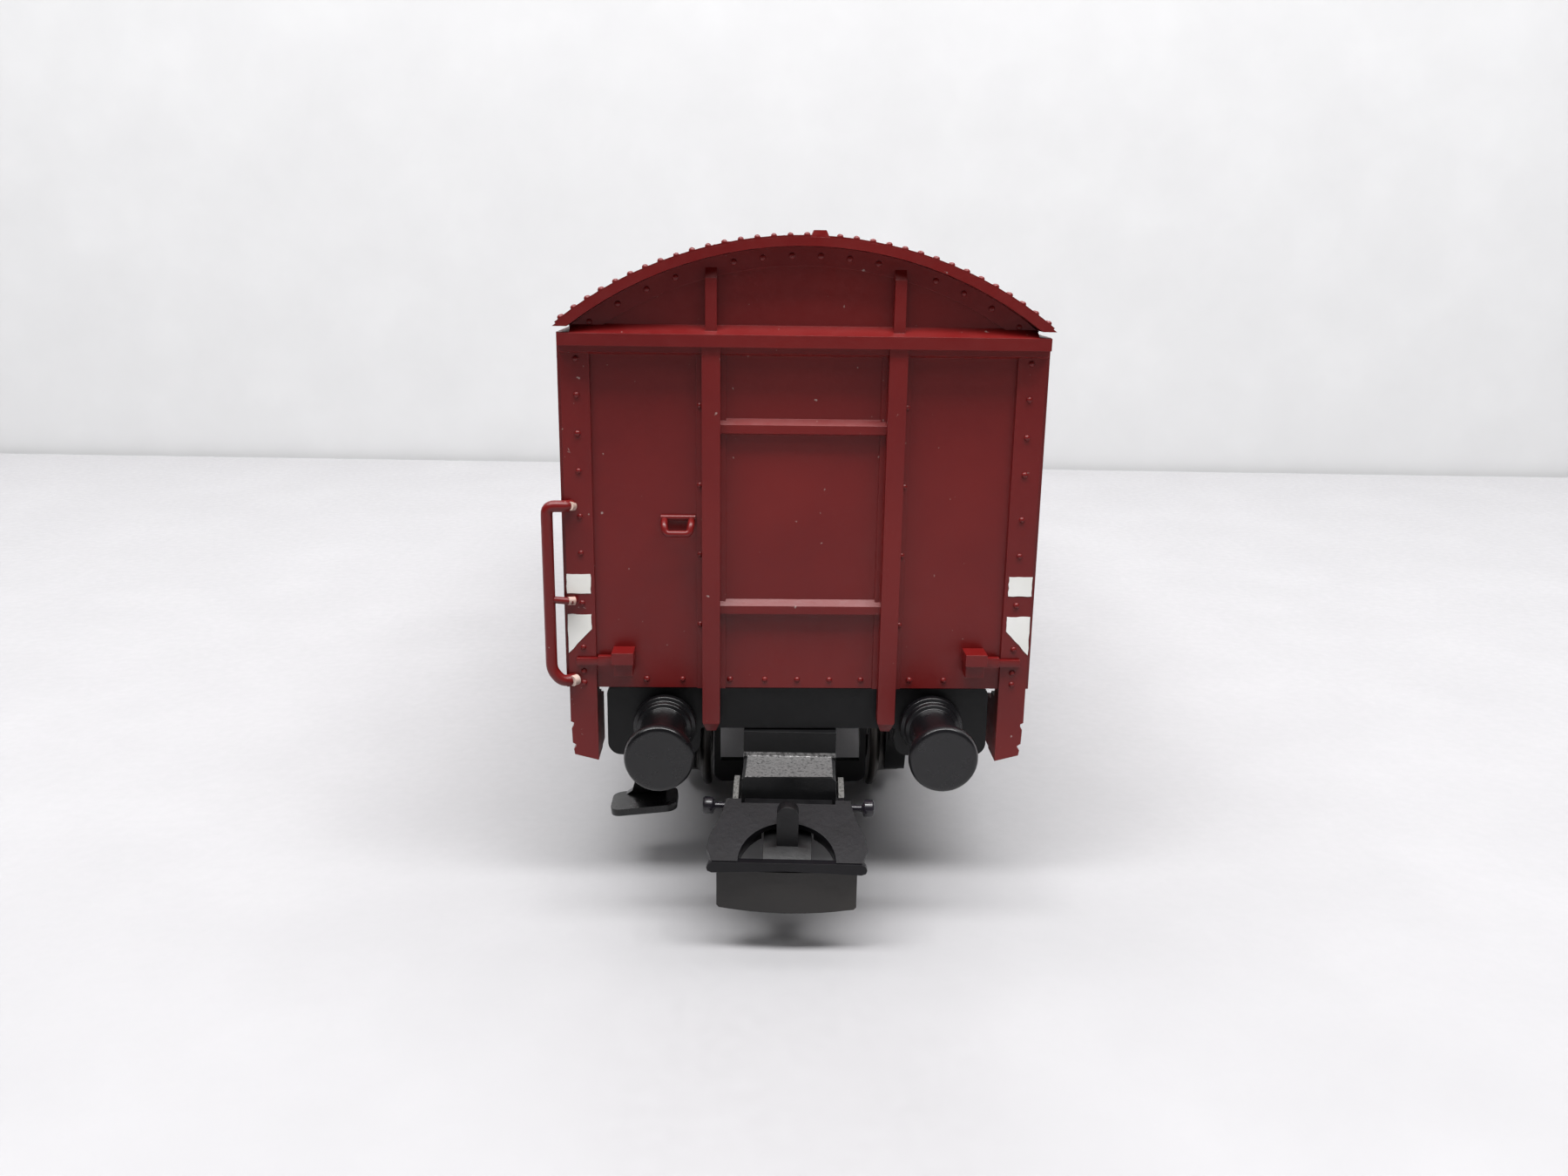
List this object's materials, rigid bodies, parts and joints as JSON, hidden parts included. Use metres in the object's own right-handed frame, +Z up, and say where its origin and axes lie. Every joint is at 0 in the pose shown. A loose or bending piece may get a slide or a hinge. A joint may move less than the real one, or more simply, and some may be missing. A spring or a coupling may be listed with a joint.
{
  "type": "model covered goods wagon",
  "caption": "Two-axle covered goods wagon model with an arched roof, sliding side doors, buffers, spinning wheelsets and swinging hinged loop couplers.",
  "frame": {"origin": "bottom centre of the bounding box: on the standing surface, under the wagon's centre", "axes": "+Y along the wagon, with the pictured end at -Y, +X across it and +Z up"},
  "size_m": [0.0374, 0.1288, 0.0494],
  "materials": {
    "oxide_red": "satin oxide-red moulded plastic with a fine grain",
    "underframe_black": "satin black moulded plastic",
    "gloss_black": "glossy black plastic",
    "coupler_black": "blackened metal with worn edges",
    "bright_steel": "bright turned metal",
    "axle_steel": "turned steel",
    "wheel_metal": "chemically blackened turned metal, tread rubbed brighter",
    "insulating_plastic": "black nylon",
    "ballast_steel": "plain pressed steel plate",
    "floor_brown": "brown plastic with board grooves"
  },
  "bodies": {
    "wagon": {"body_shell": "oxide_red", "roof": "oxide_red", "load_floor": "floor_brown", "ballast_weight": "ballast_steel", "underframe": "underframe_black", "front_left_buffer": "gloss_black", "front_right_buffer": "gloss_black", "rear_left_buffer": "gloss_black", "rear_right_buffer": "gloss_black", "front_left_lamp_bracket": "oxide_red", "front_right_lamp_bracket": "oxide_red", "rear_left_lamp_bracket": "oxide_red", "rear_right_lamp_bracket": "oxide_red", "front_end_handle": "oxide_red", "rear_end_handle": "oxide_red", "front_corner_handrail": "oxide_red", "rear_corner_handrail": "oxide_red", "front_shunter_step": "underframe_black", "rear_shunter_step": "underframe_black", "left_door_step": "underframe_black", "right_door_step": "underframe_black", "left_upper_door_rail": "oxide_red", "left_lower_door_rail": "oxide_red", "right_upper_door_rail": "oxide_red", "right_lower_door_rail": "oxide_red", "front_brake_gear": "underframe_black", "rear_brake_gear": "underframe_black", "brake_cylinder": "underframe_black", "air_reservoir": "underframe_black", "front_coupler_screw": "bright_steel", "rear_coupler_screw": "bright_steel"},
    "front_wheelset": {"front_axle": "axle_steel", "front_axle_bush": "insulating_plastic", "front_left_wheel": "wheel_metal", "front_right_wheel": "wheel_metal"},
    "rear_wheelset": {"rear_axle": "axle_steel", "rear_axle_bush": "insulating_plastic", "rear_left_wheel": "wheel_metal", "rear_right_wheel": "wheel_metal"},
    "left_side_door": {"left_door": "oxide_red", "left_door_latch": "underframe_black"},
    "right_side_door": {"right_door": "oxide_red", "right_door_latch": "underframe_black"},
    "front_coupler": {"front_drawbar": "underframe_black", "front_coupler_head": "coupler_black", "front_bow_pin": "bright_steel"},
    "front_bow": {"front_coupler_bow": "coupler_black"},
    "rear_coupler": {"rear_drawbar": "underframe_black", "rear_coupler_head": "coupler_black", "rear_bow_pin": "bright_steel"},
    "rear_bow": {"rear_coupler_bow": "coupler_black"}
  },
  "joints": [
    {"name": "front_wheelset_spin", "type": "hinge", "parent": "wagon", "child": "front_wheelset", "pos_m": [0, -0.03275, 0.00665], "axis": [1, 0, 0], "continuous": true},
    {"name": "rear_wheelset_spin", "type": "hinge", "parent": "wagon", "child": "rear_wheelset", "pos_m": [0, 0.03275, 0.00665], "axis": [1, 0, 0], "continuous": true},
    {"name": "left_door_slide", "type": "slide", "parent": "wagon", "child": "left_side_door", "axis": [0, 1, 0], "range_m": [0, 0.0205]},
    {"name": "right_door_slide", "type": "slide", "parent": "wagon", "child": "right_side_door", "axis": [0, -1, 0], "range_m": [0, 0.0205]},
    {"name": "front_coupler_swing", "type": "hinge", "parent": "wagon", "child": "front_coupler", "pos_m": [0, -0.0398, 0.012], "axis": [0, 0, 1], "range_deg": [-9, 14.5]},
    {"name": "front_bow_lift", "type": "hinge", "parent": "front_coupler", "child": "front_bow", "pos_m": [-0.00081, -0.05833, 0.0088], "axis": [-0.999, 0.0436, 0], "range_deg": [0, 20]},
    {"name": "rear_coupler_swing", "type": "hinge", "parent": "wagon", "child": "rear_coupler", "pos_m": [0, 0.0398, 0.012], "axis": [0, 0, 1], "range_deg": [-9, 14.5]},
    {"name": "rear_bow_lift", "type": "hinge", "parent": "rear_coupler", "child": "rear_bow", "pos_m": [0.00081, 0.05833, 0.0088], "axis": [0.999, -0.0436, 0], "range_deg": [0, 20]}
  ]
}
